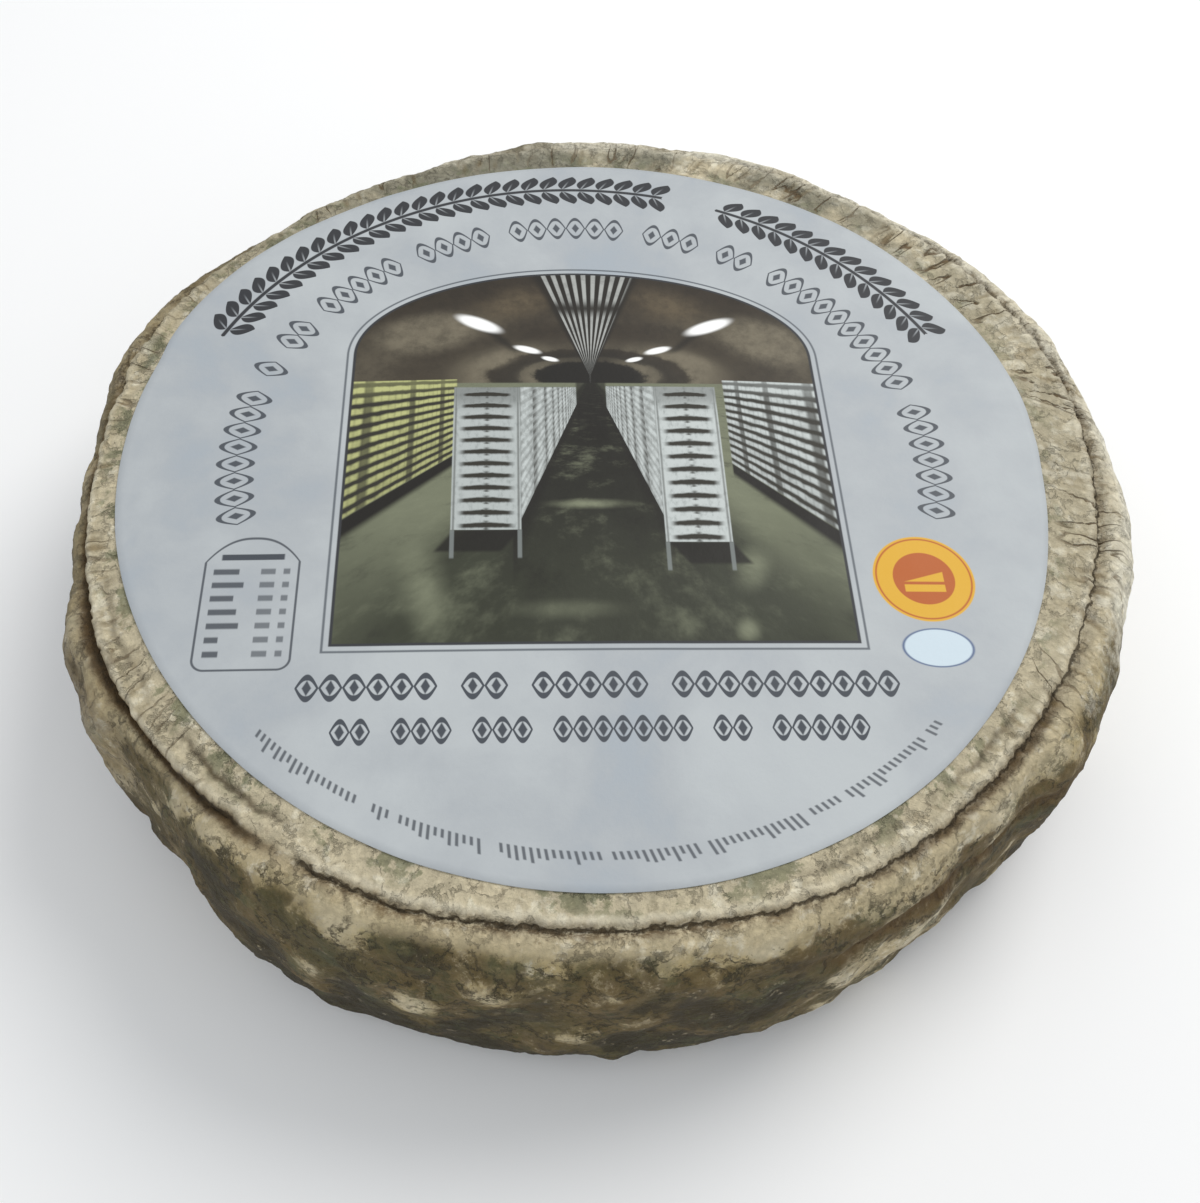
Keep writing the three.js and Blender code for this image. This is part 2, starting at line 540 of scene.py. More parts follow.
    overhang = ridge(creaseGap, -0.2, 0.9) * creaseHere * bare * given["Overhang"]
    normal = out(node(tree, "GeometryNodeInputNormal"))
    offset = added(scaled(normal, height * mm), scaled(ring, overhang * mm))
    kept = {             # for the material
        "creaseGap": creaseGap, "creaseHere": creaseHere * bare,
        "echoGap": echoGap, "echoHere": echoHere * bare,
        "secondGap": secondGap, "secondHere": secondHere,
        "foldGap": pleats, "foldHere": foldHere * foldLedge * bare,
        "pucker": pucker * bare, "softGroove": softGroove * bare,
        "lobes": cells, "labelGap": labelGap,
    }
    for name, value in kept.items():
        mesh = stored(mesh, name, value)
    raised = out(node(tree, "GeometryNodeSetPosition", {"Geometry": mesh, "Offset": offset}), "Geometry")
    finished(raised, end, material)
    return tree


def newMaterial(name):
    material = bpy.data.materials.new(name)
    material.use_nodes = True
    return material, material.node_tree, material.node_tree.nodes["Principled BSDF"]


def placeOf(tree):                   # where a point of the piece is, in millimetres
    return scaled(out(node(tree, "ShaderNodeTexCoord"), "Object"), 1 / mm)


def saved(tree, name):               # a value stored on the mesh
    return out(node(tree, "ShaderNodeAttribute", attribute_name=name), "Fac")


def mix(base, over, amount):
    return out(node(amount.tree, "ShaderNodeMix", {0: amount, 6: base, 7: over}, data_type="RGBA"), 2)


def painted(colour, tints, *coats):  # coats over a colour, each a tint and how far it covers
    for name, cover in coats:
        colour = mix(colour, tints[name], cover)
    return colour


def makeBlotchGroup():               # patches with ragged edges, and the field that they are cut from
    inputs = {
        "Place": ("vector", None), "Size": ("float", 10.0), "Seed": ("float", 0.0), "Cover": ("float", 0.5),
        "Softness": ("float", 0.1), "Ragged": ("float", 0.6),
    }
    group, given, end = newGroup("blotches", "ShaderNodeTree", inputs, {"Mask": "float", "Field": "float"})
    settings = {
        "Vector": given["Place"], "W": given["Seed"], "Scale": 1.0 / given["Size"], "Detail": 6.0,
        "Roughness": given["Ragged"], "Distortion": 0.25,
    }
    field = out(node(group, "ShaderNodeTexNoise", settings, noise_dimensions="4D"))
    limit, soft = 0.78 - given["Cover"] * 0.56, given["Softness"]
    feed(group, end.inputs["Mask"], fade(field, limit - soft, limit + soft))
    feed(group, end.inputs["Field"], field)
    return group


blotchGroup = makeBlotchGroup()


def blotches(where, size, seed, cover, soft=0.05, ragged=0.6, key="Mask"):
    inputs = {"Place": where, "Size": size, "Seed": seed, "Cover": cover, "Softness": soft, "Ragged": ragged}
    return out(place(where.tree, blotchGroup, "ShaderNodeGroup", inputs), key)


def clouds(where, size, seed, ragged=0.6):
    return blotches(where, size, seed, 0.5, ragged=ragged, key="Field")


def makeGrainGroup():                # fine grains with soft hollows between them
    inputs = {
        "Place": ("vector", None), "Size": ("float", 1.5), "Seed": ("float", 0.0), "Round": ("float", 0.5),
    }
    group, given, end = newGroup("grain", "ShaderNodeTree", inputs, {"Field": "float"})
    at = {"Vector": given["Place"], "W": given["Seed"]}
    cells = node(group, "ShaderNodeTexVoronoi", at | {"Scale": 1.0 / given["Size"]}, voronoi_dimensions="4D")
    dust = node(group, "ShaderNodeTexNoise",
                at | {"Scale": 0.8 / given["Size"], "Detail": 4.0, "Roughness": 0.7}, noise_dimensions="4D")
    beads = 1.0 - out(cells, "Distance")
    feed(group, end.inputs["Field"], beads * given["Round"] + out(dust) * (1.0 - given["Round"]))
    return group


grainGroup = makeGrainGroup()


def grains(where, size, seed, roundness):
    inputs = {"Place": where, "Size": size, "Seed": seed, "Round": roundness}
    return out(place(where.tree, grainGroup, "ShaderNodeGroup", inputs), "Field")


rindTint = {
    "tan": linear(202, 187, 152),
    "gold": linear(182, 162, 112),
    "cream": linear(230, 222, 198),
    "pit": linear(118, 98, 60),
    "brown": linear(104, 86, 48),
    "olive": linear(78, 73, 40),
    "dark": linear(48, 42, 25),
    "umber": linear(76, 62, 44),
    "grey": linear(114, 113, 99),
    "mould": linear(236, 231, 212),
    "ash": linear(182, 178, 158),
    "green": linear(98, 104, 72),
    # painted shadow in the crack, the echo groove and the soft groove
    "crease": linear(66, 52, 28),
    "thread": linear(66, 57, 30),
    # brown stain with painted shade, for the grooves and folds
    "groove shade and stain": linear(94, 72, 40),
}
rindMarks = {            # millimetres across
    "grain": 1.1,
    "bead": 2.1,
    "speck": 4.5,
    "moss": 5.0,
    "thread": 8.0,
    "green": 8.0,
    "green haze": 10.0,
    "hollow": 16.0,
    "patch": 20.0,
}
rindCover = {            # how strongly each coat hides what is under it
    "crust": 0.8,
    "rut": 0.25,
    "rim crust": 0.3,
    "gold": 0.85,
    "grey": 0.85,
    "olive": 0.8,
    # painted shade in the clefts between the lobes
    "cleft": 0.5,
    "fleck": 0.4,
    # painted highlight on the tops of the lobes
    "crown": 0.4,
    "moss": 0.75,
    "crumb": 0.4,
    "umber": 0.9,
    "felt": 0.96,
    "green haze": 0.25,
    # painted highlights on the lips above and below the crease
    "lip": 0.5,
    "shoulder": 0.35,
    # painted shade, partly brown stain, in the crease, its echo, the grooves and the folds
    "soft crease": 0.95,
    "crease edge": 0.85,
    "echo": 0.85,
    "second groove": 0.9,
    "fold": 0.9,
    "crease": 0.9,
}


def makeRindMaterial():
    material, tree, skin = newMaterial("natural rind")
    tint, size, cover = rindTint, rindMarks, rindCover
    where = placeOf(tree)
    x, y, z = parts(where)
    fromX, fromY = x - wheelShape["Middle X"], y - wheelShape["Middle Y"]
    turn = angleTo(fromX, fromY) / pi
    far = most(length(fromX, fromY), 1.0)
    rim = saved(tree, "rimDistance")
    slant = vector(tree, fromX / far, fromY / far, rim * 0.0018)
    side = fade(rim, 1.0, 6.0)
    low = slide(z, 44.0, 3.0)

    grain = grains(where, size["grain"], 31.0, 0.35)
    beads = grains(where, size["bead"], 30.0, 0.75)
    patch = clouds(where, size["patch"], 32.0, 0.58)
    speck = clouds(where, size["speck"], 33.0, 0.75)
    moss = clouds(where, size["moss"], 40.0, 0.85)
    streak = noise(slant, 0.02, seed=34.0, detail=3.0, rough=0.6)
    lobes = saved(tree, "lobes")

    # tan skin with cream crusts and small pits
    felt = roundHere(turn, "mould")
    crust = fade(speck + (beads - 0.55) * 0.3 + felt * 0.05, 0.5, 0.62)
    pits = fade(speck - (beads - 0.55) * 0.4, 0.46, 0.36) * (0.6 - felt * 0.3)
    ruts = fade(streak, 0.45, 0.33) * fade(rim, -12.0, -3.0, 0.9, 0.5)
    gold = side * roundHere(turn, "dark") * fade(speck, 0.62, 0.5)
    greys = fade(patch, 0.35, 0.55) * roundHere(turn, "grey")
    colour = painted(tint["tan"], tint,
                     ("cream", crust * cover["crust"]),
                     ("pit", pits),
                     ("pit", ruts * cover["rut"]),
                     ("cream", fade(rim, 2.0, -2.0) * cover["rim crust"]),
                     ("gold", gold * cover["gold"]),
                     ("grey", greys * cover["grey"]))

    # the side: tan lobes over brown and olive hollows, darker further down; the gaps between the lobes are
    # darkened as painted shade, and cream on the lobe tops is a painted highlight
    darkness = ((patch - 0.5) * 1.9 + (speck - 0.5) * 0.35 + (lobes - 0.45) * 0.5 + low * 0.3
                + fade(rim, 3.0, 10.0, -0.11, 0.0) + roundHere(turn, "dark") * 0.52 - 0.28)
    hollow = painted(tint["brown"], tint,
                     ("olive", blotches(where, size["hollow"], 35.0, 0.45, 0.14) * cover["olive"]),
                     ("pit", fade(speck, 0.5, 0.66) * 0.5))
    hollows = fade(darkness, -0.13, 0.13) * 0.6 + fade(darkness, -0.01, 0.05) * 0.36
    deep = darkness + (beads - 0.6) * 0.25
    deep = fade(deep, 0.08, 0.42) * 0.6 + fade(deep, 0.2, 0.27) * 0.25
    # painted shade in the clefts between the lobes
    cleftShade = fade(lobes + (speck - 0.5) * 0.3, 0.6, 0.74) * fade(rim, 5.0, 14.0) * fade(darkness, -0.3, 0.0)
    flecks = fade(speck + (grain - 0.5) * 0.4, 0.6, 0.68)
    # painted highlight on the tops of the lobes
    crownHighlight = fade(lobes + (grain - 0.5) * 0.3, 0.42, 0.2) * fade(darkness, 0.1, -0.15)
    colour = painted(mix(colour, hollow, hollows * side), tint,
                     ("dark", deep * side),
                     ("dark", cleftShade * cover["cleft"]),
                     ("tan", flecks * side * cover["fleck"]),
                     ("cream", crownHighlight * side * cover["crown"]))

    # moss and fine dark threads where the tan turns to brown
    damp = fade(darkness, -0.38, -0.05) * (side * 0.75 + 0.25) * (1.0 - felt * 0.6)
    crumbs = fade(moss, 0.45, 0.39) * fade(darkness, 0.3, 0.0) * side
    threads = abs(clouds(where, size["thread"], 41.0, 0.62) - 0.5)
    threads = fall(threads, 0.004, 0.022) * fade(moss, 0.4, 0.55)
    umber = fade(rim, 2.0, 9.0) * roundHere(turn, "umber") * fade(patch + (speck - 0.5) * 0.5, 0.66, 0.46)
    colour = painted(colour, tint,
                     ("olive", fade(moss, 0.53, 0.58) * damp * cover["moss"]),
                     ("tan", crumbs * cover["crumb"]),
                     ("thread", threads * (damp * 0.75 + 0.12)),
                     ("umber", umber * cover["umber"]))

    # pale felt of mould on one side, and green mould near the label
    spread = (0.5 - patch) * 1.3 + (speck - 0.5) * 0.6 + (moss - 0.5) * 0.4 + felt - low * 0.16
    spread = fade(spread, 0.3, 0.58) * fade(rim + (speck - 0.5) * 6, -2.5, 2.5)
    feltTint = painted(tint["mould"], tint,
                       ("ash", fade(moss + (streak - 0.5) * 0.4, 0.46, 0.6) * 0.65),
                       ("tan", fade(patch, 0.46, 0.64) * 0.35),
                       ("pit", fade(speck + (grain - 0.5) * 0.5, 0.41, 0.33) * 0.5))
    green = fade(clouds(where, size["green"], 38.0, 0.7) + (grain - 0.5) * 0.2, 0.5, 0.57)
    green = green * fall(saved(tree, "labelGap"), 1.0, 7.0) * (0.7 - felt * 0.35)
    haze = blotches(where, size["green haze"], 39.0, 0.33, 0.04) * side
    colour = painted(mix(colour, feltTint, spread * cover["felt"]), tint,
                     ("green", green),
                     ("green", haze * cover["green haze"]))

    # crease, its echo, the second groove and the folds: painted highlights on the lips beside the crease,
    # and painted shade, partly brown stain, in the crack, grooves, folds and pucker valleys
    gap = saved(tree, "creaseGap") + (grain - 0.5) * 1.2 + (speck - 0.5) * 1.0
    here = saved(tree, "creaseHere")
    wide = fade(moss, 0.36, 0.6, 0.25, 1.0)
    # painted shadow in the crack along the crease
    line = fade(gap, -0.2, 0.05) * fall(gap, 0.1, 0.15 + wide * 0.75) * fade(here, 0.1, 0.6)
    parted = here * (1.0 - felt * 0.35)
    shaded = saved(tree, "softGroove")
    # painted shade, partly brown stain, in the soft groove
    soft = fade(shaded + (speck - 0.5) * 0.8, 0.15, 0.75) * shaded
    # brown stain and painted shade in the crease groove
    edge = ridge(gap, 0.8, 2.4) * fade(moss, 0.38, 0.55) * parted
    # painted shade in the echo groove
    echo = ridge(saved(tree, "echoGap") + (grain - 0.5) * 1.2, 0.0, 1.2) * saved(tree, "echoHere")
    # painted shade, partly brown stain, in the second groove
    second = ridge(saved(tree, "secondGap") + (speck - 0.5) * 6, 0.0, 3.0) * saved(tree, "secondHere")
    # painted shade in the fold valleys
    fold = fall(abs(saved(tree, "foldGap") + (grain - 0.5) * 0.012), 0.003, 0.022) * saved(tree, "foldHere")
    # painted shade in the pucker valleys
    valleyShade = fade(saved(tree, "pucker"), -0.05, -0.4)
    valleyShade = valleyShade * fade(rim, -8.0, -1.0, 0.35, 0.75) * fade(rim, 2.0, 5.0, 1.0, 0.4)
    colour = painted(colour, tint,
                     # painted highlights on the lips above and below the crease
                     ("cream", ridge(gap, -1.2, 1.3) * here * cover["lip"]),
                     ("tan", ridge(gap, 3.6, 2.6) * parted * cover["shoulder"]),
                     # painted shade, partly brown stain, in the grooves, crack, folds and pucker valleys
                     ("groove shade and stain", soft * cover["soft crease"]),
                     ("crease", fade(shaded + (moss - 0.5) * 0.9, 0.5, 0.85) * shaded),
                     ("groove shade and stain", edge * cover["crease edge"]),
                     ("crease", echo * cover["echo"]),
                     ("groove shade and stain", second * cover["second groove"]),
                     ("groove shade and stain", fold * cover["fold"]),
                     ("pit", valleyShade),
                     ("crease", line * cover["crease"]))
    colour = scaled(colour, slide(grain, 0.3, 0.7, 0.83, 1.2) * slide(beads, 0.35, 0.8, 0.9, 1.1))

    feed(tree, skin.inputs["Base Color"], colour)
    feed(tree, skin.inputs["Roughness"], slide(speck, 0.3, 0.7, 0.95, 0.78))
    relief = grain * 0.6 + beads * 0.35 + speck * 0.7 + moss * 0.8 + streak * 0.3
    relief = relief - fold * 0.4 - line * 0.5 - threads * 0.3
    bumped = node(tree, "ShaderNodeBump", {"Strength": 1.0, "Distance": mm, "Height": relief})
    feed(tree, skin.inputs["Normal"], out(bumped))
    return material


bakeChart = {            # how the skin is laid out flat, in parts of the sheet's side
    "strips": 4,
    "strip": (0.66, 0.232),      # length and height
    "margin": 0.009,
    "round": 0.15,
    "underside": (0.84, 0.17),
    "under label": (0.84, 0.5),
}


# place from the middle, row and angle of each corner of each face, and its face's row and angle
def faceCorners(piece, middle=(0.0, 0.0)):
    mesh = piece.data
    corner = np.empty(len(mesh.loops), np.int32)
    mesh.loops.foreach_get("vertex_index", corner)
    spot = np.empty(len(mesh.vertices) * 3, np.float32)
    mesh.vertices.foreach_get("co", spot)
    spot = (spot.reshape(-1, 3)[:, :2] / mm - middle)[corner]
    row = np.empty(len(mesh.vertices), np.float32)
    mesh.attributes["row"].data.foreach_get("value", row)
    row = row[corner]
    first, count = np.empty(len(mesh.polygons), np.int32), np.empty(len(mesh.polygons), np.int32)
    mesh.polygons.foreach_get("loop_start", first)
    mesh.polygons.foreach_get("loop_total", count)
    faceRow = np.repeat(np.add.reduceat(row, first) / count, count)
    faceSpot = np.repeat(np.add.reduceat(spot, first) / count[:, None], count, axis=0)
    faceTurn = np.arctan2(faceSpot[:, 1], faceSpot[:, 0])
    turn = np.arctan2(spot[:, 1], spot[:, 0])
    turn = faceTurn + (turn - faceTurn + pi) % (2 * pi) - pi
    return spot, row, turn, faceRow, faceTurn


def keepBakeMap(piece, places):
    layer = piece.data.uv_layers.new(name="OFBake", do_init=False)
    layer.uv.foreach_set("vector", places.astype(np.float32).ravel())


def mapRind(piece):                  # strips round the side and ledge, and two discs
    spot, row, turn, faceRow, faceTurn = faceCorners(piece)
    chart, sideFrom = bakeChart, rindSize["Bottom rows"]
    innerFrom = sideFrom + rindSize["Side rows"] + rindSize["Ledge rows"]
    arc = 2 * pi / chart["strips"]
    strip = np.clip((faceTurn + pi) // arc, 0, chart["strips"] - 1)
    across = (turn + pi - strip * arc) / arc * chart["strip"][0] + chart["margin"]
    up = (row - sideFrom) / (innerFrom - sideFrom) * chart["strip"][1] + chart["margin"]
    up = up + strip / chart["strips"]
    places = np.stack([across, up], 1)
    disc = spot / wheelShape["Radius"] * chart["round"]
    under, hidden = faceRow < sideFrom, faceRow > innerFrom
    places[under] = disc[under] + chart["underside"]
    places[hidden] = disc[hidden] + chart["under label"]
    keepBakeMap(piece, places)


rindValues = wheelShape | labelShape | rindRelief | rindSize
rind = grown("rind", makeRindTree(makeRindMaterial()), rindValues)
mapRind(rind)
print("rind made")


# the label: a thin paper disc with its print
labelSize = {"Columns": 360, "Back rows": 24, "Edge rows": 3, "Front rows": 60}
labelRelief = {          # millimetres
    "Glue": 0.06,
    "Paper": 0.22,
    "Cockle": 0.16,
    "Cockle size": 26.0,
    "Edge lift": 0.25,
    "Uneven cut": 0.5,
}


def makeLabelTree(material):
    inputs = treeInputs(wheelShape | labelShape | labelRelief, labelSize)
    tree, given, end = newGroup("glued label", "GeometryNodeTree", inputs, {"Geometry": "mesh"})
    total = given["Back rows"] + given["Edge rows"] + given["Front rows"]
    mesh, turn, up = gridOf(tree, given["Columns"] + 1, total + 1)
    row = up * total
    mesh = stored(mesh, "row", row)
    back = slide(row, 0.0, given["Back rows"])
    thick = slide(row, given["Back rows"], given["Back rows"] + given["Edge rows"])
    front = slide(row, given["Back rows"] + given["Edge rows"], total)

    around = vector(tree, maths(tree, "COSINE", turn), maths(tree, "SINE", turn))
    trim = (noise(around, 0.4, seed=21.0, detail=2.0) - 0.5) * given["Uneven cut"]
    across, deep, _ = parts(around)
    reach = maths(tree, "SQRT", back) * (1.0 - front)
    wide = labelEdge(across * 50 + given["Label X"], deep * 50 + given["Label Y"], given)
    radius = reach * wide + trim * reach ** 4 + maths(tree, "SINE", thick * pi) * 0.06
    x, y = across * radius + given["Label X"], deep * radius + given["Label Y"]
    _, top = outline(tree, vector(tree, x, y), given)
    wave = noise(vector(tree, x, y), given["Cockle size"], seed=22.0, detail=2.0) - 0.5
    curl = fade(reach, 0.965, 1.0) * fade(noise(around, 0.22, seed=23.0, detail=1.0), 0.5, 0.75)
    lift = most(wave * given["Cockle"] * 2, 0.0) + curl * given["Edge lift"]
    z = top + given["Glue"] + lift + thick * given["Paper"]
    finished(closed(bendGrid(tree, mesh, x, y, z)), end, material)
    return tree


def between(x, low, high, soft=0.12):
    return fade(x, low - soft, low + soft) * fall(x, high - soft, high + soft)


def oneOf(*masks):                   # where any of the masks is
    total = masks[0]
    for mask in masks[1:]:
        total = most(total, mask)
    return total


def fraction(x):
    return maths(x.tree, "FRACT", x)


def newRow(name, pitch, height, bold):
    sizes = {"Along": 0.0, "Across": 0.0, "Pitch": pitch, "Height": height, "Bold": bold}
    return newGroup(name, "ShaderNodeTree", treeInputs(sizes, {}), {"Mask": "float", "Cell": "float"})


def makeLeafRow():                   # slanting leaves in pairs along a stem
    group, given, end = newRow("leaf row", 4.2, 10.0, 0.8)
    aside = abs(given["Across"])
    rise = aside / given["Height"] * 2
    steps = (given["Along"] - aside * 0.55) / given["Pitch"]
    cell = (fraction(steps) - 0.5) * given["Pitch"]
    swelling = 1.0 - (rise - 0.54) ** 2 * 4.6
    edge = swelling * given["Bold"] * given["Pitch"] * 0.5 - abs(cell)
    leaf = fade(edge, -0.12, 0.12) * fade(swelling, 0.0, 0.05)
    vein = fall(abs(cell), 0.1, 0.28) * fall(rise, 0.2, 0.75) * 0.6
    stem = fall(aside, 0.03 * given["Height"], 0.06 * given["Height"])
    feed(group, end.inputs["Mask"], most(leaf * (1.0 - vein), stem))
    feed(group, end.inputs["Cell"], maths(group, "FLOOR", steps))
    return group


def makeEyeRow():                    # a chain of narrow eyes with a bead in each
    group, given, end = newRow("eye row", 4.6, 8.0, 0.4)
    steps = given["Along"] / given["Pitch"]
    cell = fraction(steps) - 0.5
    bow = maths(group, "COSINE", cell * pi) * given["Height"] * 0.5
    stroke = given["Bold"] * (1.25 - abs(cell))
    ring = fall(abs(abs(given["Across"]) - bow + stroke * 0.5) - stroke * 0.5, -0.05, 0.22)
    bead = abs(cell * given["Pitch"]) / 0.85 + abs(given["Across"]) / 1.6
    bead = fall(bead, 0.75, 1.15)
    feed(group, end.inputs["Mask"], most(ring, bead))
    feed(group, end.inputs["Cell"], maths(group, "FLOOR", steps))
    return group


def makeDashRow():                   # short slanting strokes of uneven height
    group, given, end = newRow("dash row", 1.2, 2.2, 0.4)
    steps = (given["Along"] - given["Across"] * 0.3) / given["Pitch"]
    count = maths(group, "FLOOR", steps)
    chance = out(node(group, "ShaderNodeTexWhiteNoise", {"Vector": vector(group, count, 3.0)}))
    tall = fade(chance, 0.5, 0.9, 0.55, 1.0) * given["Height"] * 0.5
    low = given["Across"] + given["Height"] * 0.5 - tall
    word = maths(group, "GREATER_THAN", chance, 0.13)
    dash = fall(abs(low) - tall, -0.15, 0.15)
    aside = abs(fraction(steps) - 0.5) * given["Pitch"]
    dash = dash * fall(aside - given["Bold"] * 0.5, -0.15, 0.15)
    feed(group, end.inputs["Mask"], dash * word)
    feed(group, end.inputs["Cell"], count)
    return group


rows = {"leaf": makeLeafRow(), "eye": makeEyeRow(), "dash": makeDashRow()}
labelPrint = {           # millimetres and degrees from the label's middle, clockwise from the top
    "sprig": {"kind": "leaf", "radius": 81.0, "from": -66, "height": 9.8, "pitch": 4.18, "bold": 0.88,
              "words": [(0, 27), (30, 44)]},
    "chain": {"kind": "eye", "radius": 67.4, "from": -104, "height": 7.2, "pitch": 4.27, "bold": 0.75,
              "words": [(0, 8), (9, 10), (11, 13), (14, 19), (20, 24), (25, 31), (32, 35), (36, 38),
                        (39, 49), (50, 57)]},
    "first": {"kind": "eye", "x": -52, "y": -51.4, "height": 5.3, "pitch": 4.02, "bold": 0.85,
              "words": [(0, 6), (7, 9), (10, 15), (16, 26)]},
    "second": {"kind": "eye", "x": -45.6, "y": -60.0, "height": 5.0, "pitch": 3.39, "bold": 0.75,
               "words": [(0, 2), (3, 6), (7, 10), (11, 18), (19, 21), (22, 27)]},
    "foot": {"kind": "dash", "radius": 83.4, "from": -44, "height": 2.6, "pitch": 1.22, "bold": 0.55,
             "words": [(0, 106)]},
}
paperTint = {
    "dull": linear(172, 177, 181),
    "bare": linear(188, 193, 195),
    "damp": linear(165, 175, 184),
}
ink = {
    "black": linear(28, 29, 34),
    "grey": linear(70, 75, 82),
    "pale": linear(92, 98, 104),
    "gold": linear(222, 172, 52),
    "rust": linear(184, 96, 40),
    "blue": linear(92, 108, 140),
    "ice": linear(204, 219, 228),
}


def printedRow(tree, spec, u, v):    # a row round an arc, or straight where it has an x
    if "x" in spec:
        along, across = u - spec["x"], v - spec["y"]
    else:
        along = (angleTo(v, u) - radians(spec["from"])) * spec["radius"]
        across = length(u, v) - spec["radius"]
    inputs = {"Along": along, "Across": across}
    inputs.update({key.capitalize(): spec[key] for key in ("pitch", "height", "bold")})
    made = place(tree, rows[spec["kind"]], "ShaderNodeGroup", inputs)
    cell, half = out(made, "Cell") + 0.5, spec["height"] / 2
    there = [maths(tree, "GREATER_THAN", cell, first) * maths(tree, "LESS_THAN", cell, last)
             for first, last in spec["words"]]
    return out(made, "Mask") * oneOf(*there) * fall(abs(across), half, half + 0.3)


cellar = {               # where things stand from the vanishing point, in millimetres
    "middle": (0.9, 21.2),
    "arch": (48.3, 26.2, 27.4, -44.5),               # half width, rise, springing, sill
    "left rack": (-27.3, -14.2, -3.0, -39.1, 0.75),  # left, right, top, bottom, how bright
    "right rack": (12.6, 25.1, -2.7, -42.0, 1.0),
    # soft ovals: place, half width and height, turn in degrees, strength
    "bare stone": [(-15, 21, 13, 7, 20, 1.0), (17, 21, 13, 7, -20, 1.0)],
    "lit stone": [(-33, 12.5, 17, 9, 12, 1.0), (37, 10.5, 17, 10, -22, 1.0), (-19, 4.5, 9, 3.6, 24, 0.8),
                  (21, 4.5, 9, 3.6, -24, 0.8)],
    "lamps": [(-22.6, 15.2, 7.6, 2.5, -26, 1.0), (25.4, 14.8, 8.0, 2.4, 24, 1.0),
              (-12.6, 7.6, 4.2, 1.3, -18, 1.0), (14.2, 7.6, 4.2, 1.3, 18, 1.0),
              (-8.0, 4.9, 2.6, 0.9, -16, 1.0), (9.2, 4.9, 2.6, 0.9, 16, 1.0)],
    "wet floor": [(-32, -52, 6, 15, 12, 0.8), (26, -61.5, 3, 3.5, 0, 1.0), (-1, -33, 11, 1.6, 0, 1.0),
                  (28, -48, 5, 7, -20, 0.8), (-6, -57, 14, 3, 0, 0.4)],
    # brightness of the vault by how far off it is, on a scale of 80
    "bays": [(0.0, 0.0), (0.13, 0.02), (0.155, 0.75), (0.175, 0.6), (0.2, 0.1), (0.245, 0.1), (0.275, 0.85),
             (0.31, 0.7), (0.35, 0.4), (0.42, 0.12), (0.5, 0.2), (0.56, 0.35), (0.66, 0.2), (0.76, 0.04),
             (1.0, 0.0)],
}
cellarTint = {
    "stone": linear(52, 44, 33),
    "lit stone": linear(120, 112, 94),
    "bare stone": linear(98, 86, 66),
    "shade": linear(24, 21, 16),
    "lamp": linear(252, 252, 250),
    "pipe": linear(170, 172, 168),
    "floor": linear(54, 57, 43),
    "lit floor": linear(130, 134, 110),
    "board": linear(196, 202, 200),
    "dim board": linear(128, 134, 132),
    "yellow board": linear(186, 188, 128),
    "gap": linear(46, 44, 36),
}


def inArch(x, y, inset, soft=0.15):  # 1 inside the arched frame drawn this far in
    halfWide, rise, spring, sill = cellar["arch"]
    halfWide, rise = halfWide - inset, rise - inset
    up = most(y - spring, 0.0) / rise
    edge = maths(x.tree, "SQRT", most(1.0 - up * up, 0.0)) * halfWide - abs(x)
    edge = edge - most(up - 1.0, 0.0) * 50
    return fade(edge, -soft, soft) * fade(y, sill + inset - soft, sill + inset + soft)


def softOval(x, y, centreX, centreY, wide, high, turn, strength):
    c, s = cos(radians(turn)), sin(radians(turn))
    along = ((x - centreX) * c + (y - centreY) * s) / wide
    across = ((y - centreY) * c - (x - centreX) * s) / high
    return fall(length(along, across), 0.0, 1.0) * strength


def softOvals(x, y, name):
    return oneOf(*(softOval(x, y, *oval) for oval in cellar[name]))


def vault(dx, dy, where):
    reach = length(dx, dy * 2.6)
    stones = noise(where, 3.0, seed=41.0, detail=5.0, rough=0.7)
    bays = handCurve((reach + (stones - 0.5) * 5) / 80, cellar["bays"])
    bays = bays * fade(abs(dx) - dy * 0.9, -3.0, 10.0, 0.3, 1.0)
    glow = fade(softOvals(dx, dy, "lit stone"), 0.05, 0.75)
    seams = oneOf(ridge(dx + 22 - (15 - dy) * 0.9, 0.0, 2.2), ridge(dx - 25 + (15 - dy) * 1.0, 0.0, 2.2))
    seams = seams * fade(dy, 6.0, 8.0) * fade(dy, 15.0, 13.0)

    # pipes under the crown of the vault, in two lengths
    slope = dx / most(dy, 0.5)
    pipes = fade(abs(fraction(slope * 14 + 0.2) - 0.5), 0.2, 0.34) * fall(abs(slope), 0.31, 0.35)
    pipes = pipes * fade(dy, 3.0, 9.0, 0.4, 1.0) * (1.0 - ridge(dy, 20.0, 3.4) * 0.95)
    behind = fall(abs(slope), 0.34, 0.42) * fade(dy, 1.0, 4.0)

    return painted(cellarTint["shade"], cellarTint,
                   ("stone", fade(reach, 10.0, 26.0) * fade(stones, 0.2, 0.7, 0.5, 1.0)),
                   ("lit stone", bays * fade(stones, 0.25, 0.7, 0.6, 1.1)),
                   ("bare stone", softOvals(dx, dy, "bare stone") * fade(stones, 0.3, 0.7, 0.4, 1.0)),
                   ("lit stone", glow * fade(stones, 0.3, 0.7, 0.35, 1.0)),
                   ("shade", seams * 0.7),
                   ("shade", behind * 0.8),
                   ("pipe", pipes * fade(stones, 0.2, 0.6, 0.5, 1.0)),
                   ("lamp", fade(softOvals(dx, dy, "lamps"), 0.05, 0.55)))


